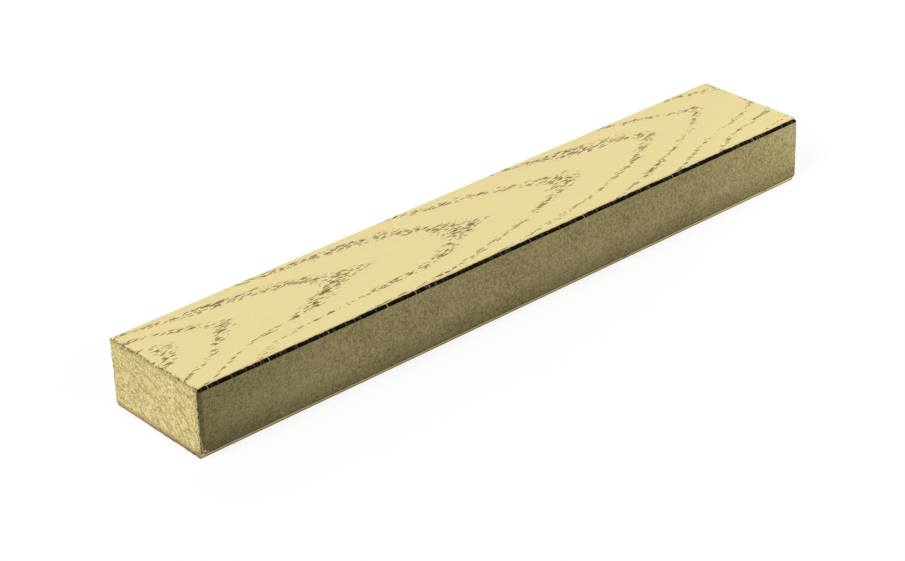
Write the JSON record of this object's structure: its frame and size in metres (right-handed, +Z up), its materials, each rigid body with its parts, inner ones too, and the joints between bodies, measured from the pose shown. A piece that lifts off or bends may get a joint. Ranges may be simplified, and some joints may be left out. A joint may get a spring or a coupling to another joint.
{
  "type": "leather strop",
  "caption": "Leather strop: a plain rectangular hardwood bar with a leather strip glued along a narrow side, for honing woodcarving and whittling blades.",
  "frame": {"origin": "middle of the whole strop's footprint, on the surface it lies on", "axes": "+X along the bar, the leather faces -Y, +Z up away from the underside"},
  "size_m": [0.28, 0.0472, 0.026],
  "materials": {
    "wood": "planed, bare, sawn ends",
    "adhesive": "cured contact adhesive",
    "leather": "napped face rubbed with honing compound, dyed upper edge"
  },
  "bodies": {
    "root": {"wood_block": "wood", "glue_film": "adhesive", "leather_strip": "leather"}
  },
  "joints": []
}
